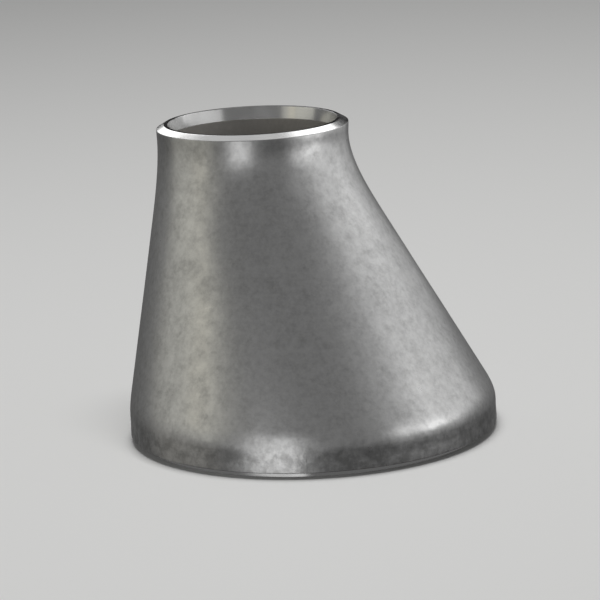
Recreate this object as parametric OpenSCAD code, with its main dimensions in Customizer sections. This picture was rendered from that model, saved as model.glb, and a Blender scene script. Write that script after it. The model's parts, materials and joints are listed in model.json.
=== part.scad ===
// Eccentric butt-weld pipe reducer, pressed in one piece from seamless stainless tube.
// The large end stands on z = 0 and the small end is at the top. The straight side, where
// the two ends are flush, faces -X. Every level section of the outside is a circle that
// touches that straight side, so the body is a stack of oblique cones.

/* [Ends] */
// Outside diameter of the large end
large_od = 168.3; // [150:0.1:200]
// Outside diameter of the small end
small_od = 88.9; // [60:0.1:100]
// Height from one end face to the other
height = 139.7; // [130:0.1:180]

/* [Walls] */
// Wall thickness at the large end face
large_wall = 7.11; // [5:0.01:9]
// Wall thickness at the small end face
small_wall = 5.49; // [4:0.01:7]
// How much thicker the pressed wall is than the machined ends
pressed_extra = 0.8; // [0.5:0.1:1]

/* [Weld preparation] */
// Width of the flat land at each end face
land_w = 2; // [1:0.1:2.4]
// Angle of the weld bevel, measured from the end face
bevel_angle = 30; // [20:0.5:37.5]
// Depth of the parallel bore just inside each end face
bore_depth = 2; // [1:0.1:3]
// Angle of the machined taper from that bore in to the pressed wall, measured from the axis
taper_angle = 12; // [12:0.5:18]

/* [Pressed shape] */
// Height of the straight skirt at the large end
skirt_h = 12; // [9:0.1:14]
// Height over which the skirt turns into the cone
knuckle_h = 10; // [8:0.5:20]
// Height over which the cone straightens into the neck
neck_h = 44; // [20:0.5:55]
// Length of the straight neck below the small end face
tangent_h = 8; // [8:0.1:12]
// How early the knuckle does most of its turning, counted from the skirt
knuckle_ease = 1.5; // [1:0.1:4]
// How early the neck's bend does most of its turning, counted from the straight neck
neck_ease = 2.5; // [1:0.1:4]

/* [Hidden] */
$fn = 200;

steel = [0.62, 0.63, 0.61];
overcut = 2;
knuckle_steps = 5;
neck_steps = 7;

large_r = large_od / 2;
small_r = small_od / 2;
large_bore_r = large_r - large_wall;
small_bore_r = small_r - small_wall;
// Height of each bevel, and of the taper inside each bore
large_bevel_h = hundredths((large_wall - land_w) * tan(bevel_angle));
small_bevel_h = hundredths((small_wall - land_w) * tan(bevel_angle));
taper_h = hundredths(pressed_extra / tan(taper_angle));

// Levels between the skirt, the knuckle, the cone, the neck's bend and the straight neck
knuckle_top = skirt_h + knuckle_h;
neck_top = height - tangent_h;
neck_bottom = neck_top - neck_h;

// Hundredths of a millimetre, so that neighbouring sections share exactly the same circle
function hundredths(x) = round(x * 100) / 100;

// Fall of the wall over the first fraction u of a bend, where the whole bend counts as u = 1
// and the slope at its cone end as 1
function clamp01(u) = min(max(u, 0), 1);
function drop(u, ease) = u - (1 - pow(1 - u, ease + 1)) / (ease + 1);
knuckle_drop = knuckle_h * drop(1, knuckle_ease);
neck_drop = neck_h * drop(1, neck_ease);
cone_slope = (large_r - small_r) / (neck_bottom - knuckle_top + knuckle_drop + neck_drop);

// Outside radius of the level section at height z
function outer_r(z) = hundredths(large_r - cone_slope * (
    knuckle_h * drop(clamp01((z - skirt_h) / knuckle_h), knuckle_ease)
    + min(max(z - knuckle_top, 0), neck_bottom - knuckle_top)
    + neck_drop - neck_h * drop(clamp01((neck_top - z) / neck_h), neck_ease)));

// Centre of that section on X, which keeps its -X side on the straight side
function centre_x(z) = outer_r(z) - large_r;

// Thickness and inside radius of the pressed wall, which thins evenly towards the small end
function pressed_wall(z) =
    hundredths(pressed_extra + large_wall + (small_wall - large_wall) * z / height);
function inner_r(z) = outer_r(z) - pressed_wall(z);

// Levels through a bend that split its turn into equal steps
function bend_share(i, steps, ease) = 1 - pow(1 - i / steps, 1 / ease);
knuckle_levels = [for (i = [0 : knuckle_steps])
    hundredths(skirt_h + knuckle_h * bend_share(i, knuckle_steps, knuckle_ease))];
neck_levels = [for (i = [neck_steps : -1 : 0])
    hundredths(neck_top - neck_h * bend_share(i, neck_steps, neck_ease))];
body_levels = concat(knuckle_levels, neck_levels);

// A cone whose upper circle is moved sideways from x0 to x1
module oblique_cone(z0, z1, r0, r1, x0, x1) {
    if (x0 == x1)
        translate([x0, 0, z0])
            cylinder(h = z1 - z0, r1 = r0, r2 = r1);
    else
        multmatrix([[1, 0, x1 - x0, x0], [0, 1, 0, 0], [0, 0, z1 - z0, z0], [0, 0, 0, 1]])
            cylinder(h = 1, r1 = r0, r2 = r1);
}

// Outside as one solid: bevel, straight skirt, knuckle, cone, neck, bevel
module outside() {
    cylinder(h = large_bevel_h, r1 = large_bore_r + land_w, r2 = large_r);
    translate([0, 0, large_bevel_h])
        cylinder(h = skirt_h - large_bevel_h, r = large_r);
    for (i = [0 : len(body_levels) - 2]) {
        z0 = body_levels[i];
        z1 = body_levels[i + 1];
        oblique_cone(z0, z1, outer_r(z0), outer_r(z1), centre_x(z0), centre_x(z1));
    }
    translate([small_r - large_r, 0, neck_top])
        cylinder(h = tangent_h - small_bevel_h, r = small_r);
    translate([small_r - large_r, 0, height - small_bevel_h])
        cylinder(h = small_bevel_h, r1 = small_r, r2 = small_bore_r + land_w);
}

// Passage between the two machined bores, down to just above the large one
module pressed_passage() {
    low = bore_depth + taper_h;
    high = height - bore_depth - taper_h;
    levels = concat([low], body_levels, [high]);
    for (i = [0 : len(levels) - 2]) {
        z0 = levels[i];
        z1 = levels[i + 1];
        if (z1 > z0)
            oblique_cone(z0, z1, inner_r(z0), inner_r(z1), centre_x(z0), centre_x(z1));
    }
}

// Machined inside of one end, opening towards -Z: a short parallel bore, then a long taper
module machined_bore(bore_r, wall_r) {
    translate([0, 0, -overcut])
        cylinder(h = bore_depth + overcut, r = bore_r);
    translate([0, 0, bore_depth])
        cylinder(h = taper_h, r1 = bore_r, r2 = wall_r);
}

module reducer_body() {
    color(steel)
        difference() {
            outside();
            pressed_passage();
            machined_bore(large_bore_r, inner_r(bore_depth + taper_h));
            translate([small_r - large_r, 0, height])
                mirror([0, 0, 1])
                    machined_bore(small_bore_r, inner_r(height - bore_depth - taper_h));
        }
}

reducer_body();
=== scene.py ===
"""Looks of an eccentric butt-weld pipe reducer, pressed from one length of seamless stainless tube.

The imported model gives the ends' radii, the machined bores and the height. The body is one closed mesh
made of level circles: up the pressed outside, over the machined rim, down the passage and back round
the machined rim underneath.
"""

import json
import math

import bpy
import numpy as np
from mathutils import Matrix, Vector, noise


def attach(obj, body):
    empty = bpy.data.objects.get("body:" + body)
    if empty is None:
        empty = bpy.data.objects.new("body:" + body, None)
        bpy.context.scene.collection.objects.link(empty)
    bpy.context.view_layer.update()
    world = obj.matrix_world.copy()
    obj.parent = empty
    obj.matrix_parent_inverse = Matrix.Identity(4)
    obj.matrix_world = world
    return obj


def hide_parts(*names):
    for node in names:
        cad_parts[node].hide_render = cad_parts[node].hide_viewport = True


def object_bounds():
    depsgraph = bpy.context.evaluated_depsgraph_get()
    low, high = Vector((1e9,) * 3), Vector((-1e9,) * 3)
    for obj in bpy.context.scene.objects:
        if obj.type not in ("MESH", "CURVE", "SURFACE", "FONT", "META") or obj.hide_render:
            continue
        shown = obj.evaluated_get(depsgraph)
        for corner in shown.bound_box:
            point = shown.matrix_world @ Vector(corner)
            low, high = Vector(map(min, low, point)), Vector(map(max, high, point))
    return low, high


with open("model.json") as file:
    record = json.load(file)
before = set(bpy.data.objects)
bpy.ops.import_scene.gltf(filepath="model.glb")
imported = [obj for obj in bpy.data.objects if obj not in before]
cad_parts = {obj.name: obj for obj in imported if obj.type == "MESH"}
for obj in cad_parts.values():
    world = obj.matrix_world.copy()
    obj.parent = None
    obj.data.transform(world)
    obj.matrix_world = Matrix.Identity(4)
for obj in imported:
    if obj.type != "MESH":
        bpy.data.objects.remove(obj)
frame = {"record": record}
CAD_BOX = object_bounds()

MM = 0.001
MOUNTS = {m["name"]: m for m in frame["record"]["mounts"]}


def mount_size(name, key):
    """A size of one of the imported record's mounts, in metres."""
    return MOUNTS[name]["dims"][key] * MM


# ---------------------------------------------------------------- the object's sizes, in metres
HEIGHT = CAD_BOX[1].z - CAD_BOX[0].z
LARGE_R = (CAD_BOX[1].y - CAD_BOX[0].y) / 2
SMALL_R = mount_size("small_end_outside", "r_mm")
LARGE_BORE_R = mount_size("large_end_bore", "r_mm")
SMALL_BORE_R = mount_size("small_end_bore", "r_mm")
BORE_DEPTH = mount_size("small_end_bore", "length_mm")

LAND = 2 * MM
BEVEL_SLOPE = math.tan(math.radians(30))
PRESSED_EXTRA = 0.8 * MM
TAPER_H = PRESSED_EXTRA / math.tan(math.radians(12))
SKIRT_H = 12 * MM
KNUCKLE_H = 10 * MM
NECK_H = 44 * MM
NECK_STRAIGHT = 8 * MM
KNUCKLE_EASE = 1.5
NECK_EASE = 2.5

KNUCKLE_TOP = SKIRT_H + KNUCKLE_H
NECK_TOP = HEIGHT - NECK_STRAIGHT
NECK_BOTTOM = NECK_TOP - NECK_H
LARGE_WALL = LARGE_R - LARGE_BORE_R
SMALL_WALL = SMALL_R - SMALL_BORE_R
LARGE_BEVEL_H = (LARGE_WALL - LAND) * BEVEL_SLOPE
SMALL_BEVEL_H = (SMALL_WALL - LAND) * BEVEL_SLOPE

# ---------------------------------------------------------------- the mesh
COLUMNS = 440
SKIRT_RINGS, KNUCKLE_RINGS, CONE_RINGS, NECK_RINGS, NECK_STRAIGHT_RINGS = 5, 18, 40, 28, 3
PASSAGE_RINGS = 52
MACHINED_STEP = 1.2 * MM    # at most this far between rings on a machined face
BLEND = 2 * MM              # of pressed wall beside each machined face, with rings as close as its own
EDGE = 0.22 * MM            # how far a broken machined edge reaches along each face
EDGE_STEPS = 4
PROUD = 0.05 * MM           # a ring this far past each edge keeps the flat beside it flat
MOUTH_EASE = 0.3 * MM       # how far each bore's slight taper opens past the true bore at its mouth
TINY = 1e-9                 # slack for comparing heights

# The shallow dents that the press leaves
DENT_DEPTH = 0.30 * MM
DENT_FADE = 5 * MM          # they die out over this height beside a machined edge
DENT_MARGIN = 0.5 * MM      # and start this far from it
DENT_STRETCH = 0.7
WAVES_PER_METRE, CLOUDS_PER_METRE = 26, 70
WAVES_SHARE, CLOUDS_SHARE = 0.62, 0.16
WAVES_PLACE, CLOUDS_PLACE = Vector((3.1, 0, 0)), Vector((0, 7.7, 0))

OUTSIDE, TURNED, PASSAGE = range(3)


def drop(u, ease):
    """Fall of the wall over the first share u of a bend, which turns early if ease is large."""
    u = min(max(u, 0.0), 1.0)
    return u - (1 - (1 - u) ** (ease + 1)) / (ease + 1)


KNUCKLE_DROP = KNUCKLE_H * drop(1, KNUCKLE_EASE)
NECK_DROP = NECK_H * drop(1, NECK_EASE)
CONE_SLOPE = (LARGE_R - SMALL_R) / (NECK_BOTTOM - KNUCKLE_TOP + KNUCKLE_DROP + NECK_DROP)


def outer_r(z):
    """Outside radius of the level section at height z."""
    cone = min(max(z - KNUCKLE_TOP, 0), NECK_BOTTOM - KNUCKLE_TOP)
    knuckle = KNUCKLE_H * drop((z - SKIRT_H) / KNUCKLE_H, KNUCKLE_EASE)
    neck = NECK_DROP - NECK_H * drop((NECK_TOP - z) / NECK_H, NECK_EASE)
    return LARGE_R - CONE_SLOPE * (knuckle + cone + neck)


def inner_r(z):
    """Radius of the pressed passage at height z. The wall thins evenly from the large end up."""
    return outer_r(z) - PRESSED_EXTRA - LARGE_WALL - (SMALL_WALL - LARGE_WALL) * z / HEIGHT


def between(a, b):
    """Points from a towards b, a included and b left out, at most a machined step apart."""
    count = max(1, math.ceil((b - a).length / MACHINED_STEP))
    return [a.lerp(b, i / count) for i in range(count)]


def broken_corner(before, corner, after):
    """A machined corner with its edge broken: a short curve, with a ring just before and after it."""
    back, on = (before - corner).normalized(), (after - corner).normalized()
    start, end = corner + back * EDGE, corner + on * EDGE
    curve = []
    for i in range(EDGE_STEPS + 1):
        t = i / EDGE_STEPS
        curve.append(start * (1 - t) ** 2 + corner * 2 * t * (1 - t) + end * t ** 2)
    return [start + back * PROUD, *curve, end + on * PROUD]


def machined(*corners):
    """Rings of a machined end through its corners, (radius, height) each. The last corner, and the ring
    just before it, are left to the pressed wall that follows."""
    points = [Vector(corner) for corner in corners]
    runs = [[points[0]]]
    runs += [broken_corner(*points[i - 1:i + 2]) for i in range(1, len(points) - 1)]
    runs += [[points[-1]]]
    rings = []
    for here, following in zip(runs, runs[1:]):
        rings += here[:-1] + between(here[-1], following[0])
    return rings[:-1]


def pressed(z0, z1, radius, steps):
    """Rings along a pressed wall from height z0 towards z1, with z1 left out."""
    levels = np.linspace(z0, z1, steps, endpoint=False)
    return [Vector((radius(z), z)) for z in levels]


def section():
    """Every ring round the wall as (radius, height), and the kind of surface from each to the next.
    Each mouth's parallel bore and the taper behind it are eased into one slight taper of their depth."""
    large_taper_z, small_taper_z = BORE_DEPTH + TAPER_H, HEIGHT - BORE_DEPTH - TAPER_H
    large_blend_z, small_blend_z = large_taper_z + BLEND, small_taper_z - BLEND
    skirt_foot, neck_head = LARGE_BEVEL_H + BLEND, HEIGHT - SMALL_BEVEL_H - BLEND
    outside = (
        pressed(skirt_foot, SKIRT_H, outer_r, SKIRT_RINGS)
        + pressed(SKIRT_H, KNUCKLE_TOP, outer_r, KNUCKLE_RINGS)
        + pressed(KNUCKLE_TOP, NECK_BOTTOM, outer_r, CONE_RINGS)
        + pressed(NECK_BOTTOM, NECK_TOP, outer_r, NECK_RINGS)
        + pressed(NECK_TOP, neck_head, outer_r, NECK_STRAIGHT_RINGS)
    )
    small_end = machined(
        (SMALL_R, neck_head),
        (SMALL_R, HEIGHT - SMALL_BEVEL_H),
        (SMALL_BORE_R + LAND, HEIGHT),
        (SMALL_BORE_R + MOUTH_EASE, HEIGHT),
        (inner_r(small_taper_z), small_taper_z),
        (inner_r(small_blend_z), small_blend_z),
    )
    passage = pressed(small_blend_z, large_blend_z, inner_r, PASSAGE_RINGS)
    large_end = machined(
        (inner_r(large_blend_z), large_blend_z),
        (inner_r(large_taper_z), large_taper_z),
        (LARGE_BORE_R + MOUTH_EASE, 0),
        (LARGE_BORE_R + LAND, 0),
        (LARGE_R, LARGE_BEVEL_H),
        (LARGE_R, skirt_foot),
    )
    kinds = [OUTSIDE] * len(outside)
    for radius, z in small_end:
        low = z < HEIGHT - SMALL_BEVEL_H - TINY and radius > SMALL_BORE_R + LAND
        deep = z < small_taper_z + TINY and radius < SMALL_BORE_R
        kinds.append(OUTSIDE if low else PASSAGE if deep else TURNED)
    kinds += [PASSAGE] * len(passage)
    for radius, z in large_end:
        deep = z > large_taper_z - EDGE and radius < LARGE_BORE_R
        high = z > LARGE_BEVEL_H - TINY and radius > LARGE_BORE_R + LAND
        kinds.append(PASSAGE if deep else OUTSIDE if high else TURNED)
    return outside + small_end + passage + large_end, kinds


def dent(point):
    """How deep the press left the outside at a point: long shallow waves under smaller clouds."""
    place = Vector((point.x, point.y, point.z * DENT_STRETCH))
    waves = noise.noise(place * WAVES_PER_METRE + WAVES_PLACE)
    clouds = noise.noise(place * CLOUDS_PER_METRE + CLOUDS_PLACE)
    share = 0.5 + WAVES_SHARE * waves + CLOUDS_SHARE * clouds
    above = (point.z - LARGE_BEVEL_H - DENT_MARGIN) / DENT_FADE
    below = (HEIGHT - SMALL_BEVEL_H - DENT_MARGIN - point.z) / DENT_FADE
    fade = min(max(above, 0), max(below, 0), 1)
    return DENT_DEPTH * min(max(share, 0), 1) * fade * fade * (3 - 2 * fade)


def ring_points(radius, z, kind, cos, sin):
    """The points of one ring, pressed in a little where it belongs to the outside."""
    centre = outer_r(z) - LARGE_R
    depth = np.zeros(COLUMNS)
    if kind == OUTSIDE:
        depth = np.array([dent(Vector((centre + radius * c, radius * s, z))) for c, s in zip(cos, sin)])
    level = np.full(COLUMNS, z)
    return np.stack([centre + (radius - depth) * cos, (radius - depth) * sin, level], -1)


def add_wall_map(mesh, rings, angles, ring, column):
    """A map with one axis round the wall and one along it, which sets the turned steel's grain."""
    lengths = [(Vector(b) - Vector(a)).length for a, b in zip(rings, rings[1:])]
    along = np.r_[0, np.cumsum(lengths)]
    along = np.r_[along, along[-1] + EDGE]
    turn = np.r_[angles, 2 * np.pi] * LARGE_R
    corners = [(0, 0), (1, 0), (1, 1), (0, 1)]
    places = [np.stack([turn[column + on], along[ring + up]], -1) for on, up in corners]
    layer = mesh.uv_layers.new(name="wall")
    layer.data.foreach_set("uv", np.stack(places, 2).reshape(-1))


def build_body():
    """The reducer's body as one closed mesh of rings, each joined to the next and the last to the first."""
    rings, kinds = section()
    angles = np.linspace(0, 2 * np.pi, COLUMNS, endpoint=False)
    cos, sin = np.cos(angles), np.sin(angles)
    points = [ring_points(radius, z, kind, cos, sin) for (radius, z), kind in zip(rings, kinds)]

    ring, column = np.meshgrid(np.arange(len(rings)), np.arange(COLUMNS), indexing="ij")
    up, on = (ring + 1) % len(rings), (column + 1) % COLUMNS
    corners = [(ring, column), (ring, on), (up, on), (up, column)]
    faces = np.stack([a * COLUMNS + b for a, b in corners], axis=-1).reshape(-1, 4)

    mesh = bpy.data.meshes.new("pressed_reducer_body")
    mesh.from_pydata(np.concatenate(points).tolist(), [], faces.tolist())
    mesh.polygons.foreach_set("material_index", np.repeat(kinds, COLUMNS).astype(np.int32))
    mesh.polygons.foreach_set("use_smooth", np.ones(len(faces), bool))
    add_wall_map(mesh, rings, angles, ring, column)
    mesh.validate()
    mesh.update()
    return placed("pressed_reducer_body", mesh)


def placed(name, data):
    """A new object of the scene that holds this mesh, camera or light."""
    thing = bpy.data.objects.new(name, data)
    bpy.context.scene.collection.objects.link(thing)
    return thing


# ---------------------------------------------------------------- materials
class Nodes:
    """Adds nodes to one material, with short calls for the kinds that the steels share."""

    def __init__(self, name):
        self.material = bpy.data.materials.new(name)
        self.material.use_nodes = True
        self.tree = self.material.node_tree
        self.shader = self.tree.nodes["Principled BSDF"]
        self.place = self.add("ShaderNodeTexCoord").outputs["Object"]

    def add(self, kind, **settings):
        node = self.tree.nodes.new(kind)
        for key, value in settings.items():
            setattr(node, key, value)
        return node

    def join(self, source, target):
        self.tree.links.new(source, target)

    def stretched(self, scale):
        """The place on the object, scaled along each axis."""
        node = self.add("ShaderNodeMapping")
        node.inputs["Scale"].default_value = scale
        self.join(self.place, node.inputs["Vector"])
        return node.outputs["Vector"]

    def height(self):
        """Height above the foot, in metres."""
        node = self.add("ShaderNodeSeparateXYZ")
        self.join(self.place, node.inputs[0])
        return node.outputs["Z"]

    def noise(self, scale, detail, roughness, where=None):
        node = self.add("ShaderNodeTexNoise")
        node.inputs["Scale"].default_value = scale
        node.inputs["Detail"].default_value = detail
        node.inputs["Roughness"].default_value = roughness
        self.join(where or self.place, node.inputs["Vector"])
        return node.outputs["Fac"]

    def spread(self, value, low, high, to_low=0.0, to_high=1.0):
        """A value between low and high, carried to another range and held there."""
        node = self.add("ShaderNodeMapRange", clamp=True)
        for key, number in zip(("From Min", "From Max", "To Min", "To Max"), (low, high, to_low, to_high)):
            node.inputs[key].default_value = number
        self.join(value, node.inputs["Value"])
        return node.outputs["Result"]

    def math(self, operation, a, b):
        node = self.add("ShaderNodeMath", operation=operation)
        self.join(a, node.inputs[0])
        self.join(b, node.inputs[1])
        return node.outputs[0]

    def blend(self, share, a, b):
        """Colour a where the share is 0 and colour b where it is 1."""
        node = self.add("ShaderNodeMix", data_type="RGBA")
        self.join(share, node.inputs[0])
        for socket, colour in ((node.inputs[6], a), (node.inputs[7], b)):
            if isinstance(colour, tuple):
                socket.default_value = (*colour, 1)
            else:
                self.join(colour, socket)
        return node.outputs[2]

    def bump(self, height, distance, strength, under=None):
        node = self.add("ShaderNodeBump")
        node.inputs["Strength"].default_value = strength
        node.inputs["Distance"].default_value = distance
        self.join(height, node.inputs["Height"])
        if under is not None:
            self.join(under, node.inputs["Normal"])
        return node.outputs["Normal"]

    def finish(self, colour, roughness, normal, metallic=1.0):
        self.shader.inputs["Metallic"].default_value = metallic
        self.join(colour, self.shader.inputs["Base Color"])
        self.join(roughness, self.shader.inputs["Roughness"])
        self.join(normal, self.shader.inputs["Normal"])
        return self.material


def pickled_outside():
    """Satin grey skin of the pressing: soft clouds, pickling mottle and a fine grain with no direction.
    Handling has left the skirt blotched and pitted."""
    n = Nodes("pickled_outside")
    clouds = n.noise(34, 4, 0.55, n.stretched((1, 1, 0.75)))
    mottle = n.noise(150, 4, 0.62)
    speckle = n.noise(430, 3, 0.7)
    grain = n.noise(1100, 2, 0.6)
    streaks = n.noise(1, 3, 0.6, n.stretched((30, 30, 420)))
    blotches = n.noise(230, 4, 0.65)
    worn = n.spread(n.height(), SKIRT_H - 1 * MM, SKIRT_H + 5 * MM, 1.0, 0.0)

    colour = n.blend(n.spread(clouds, 0.3, 0.7), (0.54, 0.54, 0.54), (0.64, 0.64, 0.635))
    colour = n.blend(n.spread(mottle, 0.35, 0.66, 0.0, 0.85), colour, (0.42, 0.42, 0.418))
    colour = n.blend(n.spread(speckle, 0.36, 0.64, 0.0, 0.42), colour, (0.76, 0.76, 0.755))
    colour = n.blend(n.spread(grain, 0.55, 0.72, 0.0, 0.14), colour, (0.36, 0.36, 0.36))
    colour = n.blend(n.spread(streaks, 0.4, 0.7, 0.0, 0.16), colour, (0.70, 0.70, 0.70))
    dull = n.math("MULTIPLY", worn, n.spread(blotches, 0.50, 0.64, 0.0, 0.45))
    colour = n.blend(dull, colour, (0.33, 0.33, 0.325))
    bright = n.math("MULTIPLY", worn, n.spread(blotches, 0.50, 0.36, 0.0, 0.60))
    colour = n.blend(bright, colour, (0.82, 0.82, 0.815))

    satin = n.spread(clouds, 0.3, 0.7, 0.37, 0.30)
    roughness = n.math("ADD", satin, n.spread(mottle, 0.3, 0.7, -0.04, 0.06))

    normal = n.bump(n.math("MULTIPLY", worn, blotches), 0.20 * MM, 0.7)
    normal = n.bump(mottle, 0.13 * MM, 0.6, normal)
    normal = n.bump(speckle, 0.036 * MM, 0.6, normal)
    normal = n.bump(grain, 0.012 * MM, 0.6, normal)
    return n.finish(colour, roughness, normal)


def turned_steel():
    """Bright machined bevels, lands and bores with the lathe's feed marks running round them."""
    n = Nodes("turned_steel")
    clouds = n.noise(60, 3, 0.5)
    marks = n.noise(1, 3, 0.6, n.stretched((40, 40, 5200)))
    colour = n.blend(n.spread(clouds, 0.3, 0.7), (0.64, 0.64, 0.635), (0.74, 0.74, 0.735))
    colour = n.blend(n.spread(marks, 0.3, 0.7, 0.0, 0.25), colour, (0.52, 0.52, 0.515))
    roughness = n.spread(clouds, 0.3, 0.7, 0.16, 0.25)
    normal = n.bump(marks, 0.01 * MM, 0.4)
    n.shader.inputs["Anisotropic"].default_value = 0.4
    n.shader.inputs["Anisotropic Rotation"].default_value = 0.25
    return n.finish(colour, roughness, normal)


def pickled_passage():
    """Inside of the pressing: duller and browner than the outside, with a coarser skin."""
    n = Nodes("pickled_passage")
    clouds = n.noise(42, 4, 0.55)
    grain = n.noise(620, 4, 0.65)
    colour = n.blend(n.spread(clouds, 0.3, 0.7), (0.50, 0.485, 0.46), (0.62, 0.60, 0.57))
    colour = n.blend(n.spread(grain, 0.3, 0.7, 0.0, 0.35), colour, (0.38, 0.365, 0.34))
    roughness = n.spread(clouds, 0.3, 0.7, 0.50, 0.62)
    normal = n.bump(grain, 0.05 * MM, 0.6)
    return n.finish(colour, roughness, normal, metallic=0.5)


# ---------------------------------------------------------------- camera
VIEW_AZIMUTH = math.radians(56.54)
VIEW_ELEVATION = 12.45      # degrees
VIEW_DISTANCE = 1.3977
VIEW_ROLL = math.radians(-2.71)
LENS, SENSOR = 183.9, 36    # millimetres
SHIFT_X, SHIFT_Y = -0.01194, -0.0320

TOWARDS_CAMERA = Vector((math.sin(VIEW_AZIMUTH), -math.cos(VIEW_AZIMUTH), 0))
TO_THE_RIGHT = Vector((math.cos(VIEW_AZIMUTH), math.sin(VIEW_AZIMUTH), 0))
MIDDLE = (CAD_BOX[0] + CAD_BOX[1]) / 2


def direction(azimuth, elevation):
    """A direction from the object, in degrees: azimuth 0 is towards the camera, more is to the right."""
    a, e = math.radians(azimuth), math.radians(elevation)
    level = TOWARDS_CAMERA * math.cos(a) + TO_THE_RIGHT * math.sin(a)
    return level * math.cos(e) + Vector((0, 0, math.sin(e)))


def aim(thing, target):
    """Turn a camera or a light so that it looks at a target."""
    thing.rotation_euler = (target - thing.location).to_track_quat("-Z", "Y").to_euler()


def add_camera():
    data = bpy.data.cameras.new("camera")
    data.lens, data.sensor_width = LENS, SENSOR
    data.shift_x, data.shift_y = SHIFT_X, SHIFT_Y
    camera = placed("camera", data)
    camera.location = MIDDLE + direction(0, VIEW_ELEVATION) * VIEW_DISTANCE
    aim(camera, MIDDLE)
    camera.rotation_euler.rotate_axis("Z", VIEW_ROLL)
    bpy.context.scene.camera = camera


# ---------------------------------------------------------------- light and floor
SIDE_DISTANCE = 0.26
BACK_DISTANCE = 0.60
FOOT_DISTANCE = 0.127
WHITE, CREAM, PALE_WARM = (1, 1, 1), (1.0, 0.96, 0.86), (1.0, 0.985, 0.87)
WARM, GOLDEN = (1.0, 0.97, 0.80), (1.0, 0.87, 0.55)
WORLD_LOW, WORLD_HIGH, WORLD_BEHIND = 0.07, 0.20, 0.0
FLOOR_REACH = 8.0


def panel(name, azimuth, half_turn, low, high, radiance, colour=WHITE, distance=SIDE_DISTANCE):
    """An upright soft panel beside the object, from height low to height high, facing its axis.
    Azimuth 0 is towards the camera, and the panel reaches half_turn degrees to each side."""
    data = bpy.data.lights.new(name, "AREA")
    data.shape = "RECTANGLE"
    data.size = 2 * distance * math.tan(math.radians(half_turn))
    data.size_y = high - low
    data.energy = radiance * math.pi * data.size * data.size_y
    data.color = colour
    level = Vector((MIDDLE.x, MIDDLE.y, (low + high) / 2))
    return hung(placed(name, data), level + direction(azimuth, 0) * distance, level)


def overhead(name, side, height, back, radiance):
    """A square soft light over the object, or under it, moved back from the camera."""
    data = bpy.data.lights.new(name, "AREA")
    data.shape = "SQUARE"
    data.size = side
    data.energy = radiance * math.pi * side * side
    return hung(placed(name, data), MIDDLE - TOWARDS_CAMERA * back + Vector((0, 0, height)), MIDDLE)


def hung(light, place, target):
    """A light put in its place, aimed and hidden from the camera."""
    light.location = place
    light.visible_camera = False
    aim(light, target)
    return light


def light_only(light, receiver):
    """The light falls on one object only."""
    group = bpy.data.collections.new(light.name + "_receivers")
    group.objects.link(receiver)
    light.light_linking.receiver_collection = group


def add_lights(body, floor):
    """Soft panels for the steel alone, which mirrors them as its highlights, and one for the floor."""
    on_steel = [
        panel("key_right", 84, 38, 0.074, 0.235, 0.58),
        panel("key_right_core", 68, 17, 0.058, 0.160, 0.44),
        panel("key_right_top", 102, 26, 0.235, 0.40, 0.54),
        panel("key_right_top_front", 60, 16, 0.235, 0.40, 0.18),
        panel("key_right_far", 122, 14, 0.180, 0.40, 0.40),
        panel("edge_right", 134, 12, 0.080, 0.40, 0.35),
        panel("neck_right", 78, 10, 0.070, 0.102, 1.30),
        panel("low_right", 66, 24, -0.03, 0.058, 0.16),
        panel("strip_left", -21, 13, -0.08, 0.040, 0.98),
        panel("strip_left_top", -21, 13, 0.040, 0.175, 0.84),
        panel("fill_left", -80, 27, 0.045, 0.28, 0.32, PALE_WARM),
        panel("fill_left_top", -94, 16, 0.17, 0.30, 0.14, WARM),
        panel("warm_left", -70, 6, 0.10, 0.24, 0.18, GOLDEN),
        panel("low_left", -78, 22, -0.08, 0.045, 0.14, CREAM),
        panel("back_left", -156, 9, 0.24, 0.80, 1.8, distance=BACK_DISTANCE),
        panel("back_right", 152, 9, 0.48, 1.10, 1.8, distance=BACK_DISTANCE),
        overhead("top", 0.90, 0.80, 0.50, 0.48),
        overhead("under_foot", 0.90, -0.55, 0.45, 0.07),
        panel("foot_strip", -164, 12, -0.26, -0.17, 0.75, distance=FOOT_DISTANCE),
    ]
    for light in on_steel:
        light_only(light, body)
    light_only(overhead("over_floor", 1.2, 2.0, 0.0, 6.0), floor)


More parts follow.
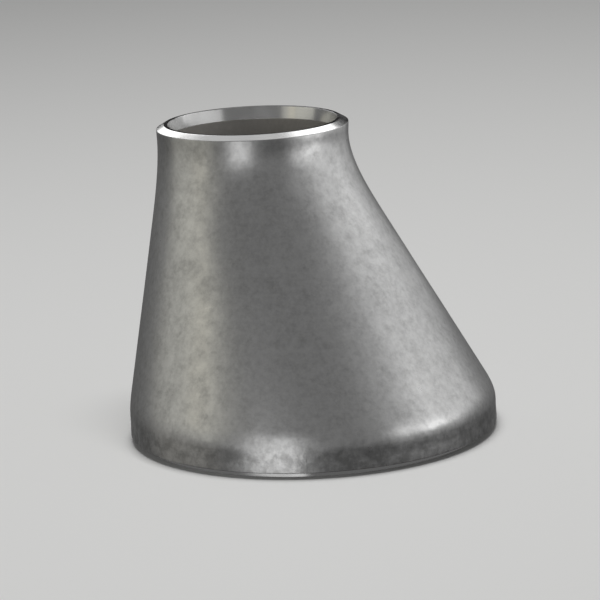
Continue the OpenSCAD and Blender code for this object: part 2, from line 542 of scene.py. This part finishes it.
def add_world():
    """Dim grey surroundings, darker under the level of the floor and darkest behind the object."""
    world = bpy.data.worlds.new("surroundings")
    bpy.context.scene.world = world
    world.use_nodes = True
    tree = world.node_tree
    place = tree.nodes.new("ShaderNodeTexCoord").outputs["Generated"]

    def along(axis, low, high):
        """0 to 1 as a direction's share of an axis goes from low to high."""
        dot = tree.nodes.new("ShaderNodeVectorMath")
        dot.operation = "DOT_PRODUCT"
        dot.inputs[1].default_value = axis
        tree.links.new(place, dot.inputs[0])
        share = tree.nodes.new("ShaderNodeMapRange")
        share.inputs["From Min"].default_value = low
        share.inputs["From Max"].default_value = high
        tree.links.new(dot.outputs["Value"], share.inputs["Value"])
        return share.outputs["Result"]

    def mix(share, first, second):
        """A grey from first to second, each a brightness or another mix."""
        node = tree.nodes.new("ShaderNodeMix")
        node.data_type = "RGBA"
        tree.links.new(share, node.inputs[0])
        for socket, value in ((node.inputs[6], first), (node.inputs[7], second)):
            if isinstance(value, float):
                socket.default_value = (value, value, value, 1)
            else:
                tree.links.new(value, socket)
        return node.outputs[2]

    grey = mix(along((0, 0, 1), -0.30, 0.10), WORLD_LOW, WORLD_HIGH)
    grey = mix(along(-direction(0, -14), 0.88, 0.975), grey, WORLD_BEHIND)
    tree.links.new(grey, tree.nodes["Background"].inputs["Color"])


def add_floor():
    """A plain pale floor, which the steel neither mirrors nor is shaded by."""
    corners = [(x * FLOOR_REACH, y * FLOOR_REACH, 0) for x, y in ((-1, -1), (1, -1), (1, 1), (-1, 1))]
    mesh = bpy.data.meshes.new("floor")
    mesh.from_pydata(corners, [], [(0, 1, 2, 3)])
    floor = placed("floor", mesh)
    floor.location.z = CAD_BOX[0].z
    material = bpy.data.materials.new("pale_floor")
    material.use_nodes = True
    shader = material.node_tree.nodes["Principled BSDF"]
    shader.inputs["Base Color"].default_value = (0.80, 0.80, 0.79, 1)
    shader.inputs["Roughness"].default_value = 0.9
    shader.inputs["Specular IOR Level"].default_value = 0.1
    mesh.materials.append(material)
    floor.visible_glossy = False
    floor.visible_shadow = False
    return floor


# ---------------------------------------------------------------- everything together
body = build_body()
for make in (pickled_outside, turned_steel, pickled_passage):
    body.data.materials.append(make())
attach(body, "root")
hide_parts("reducer_body")

add_camera()
add_world()
add_lights(body, add_floor())
bpy.context.scene.view_settings.view_transform = "Standard"
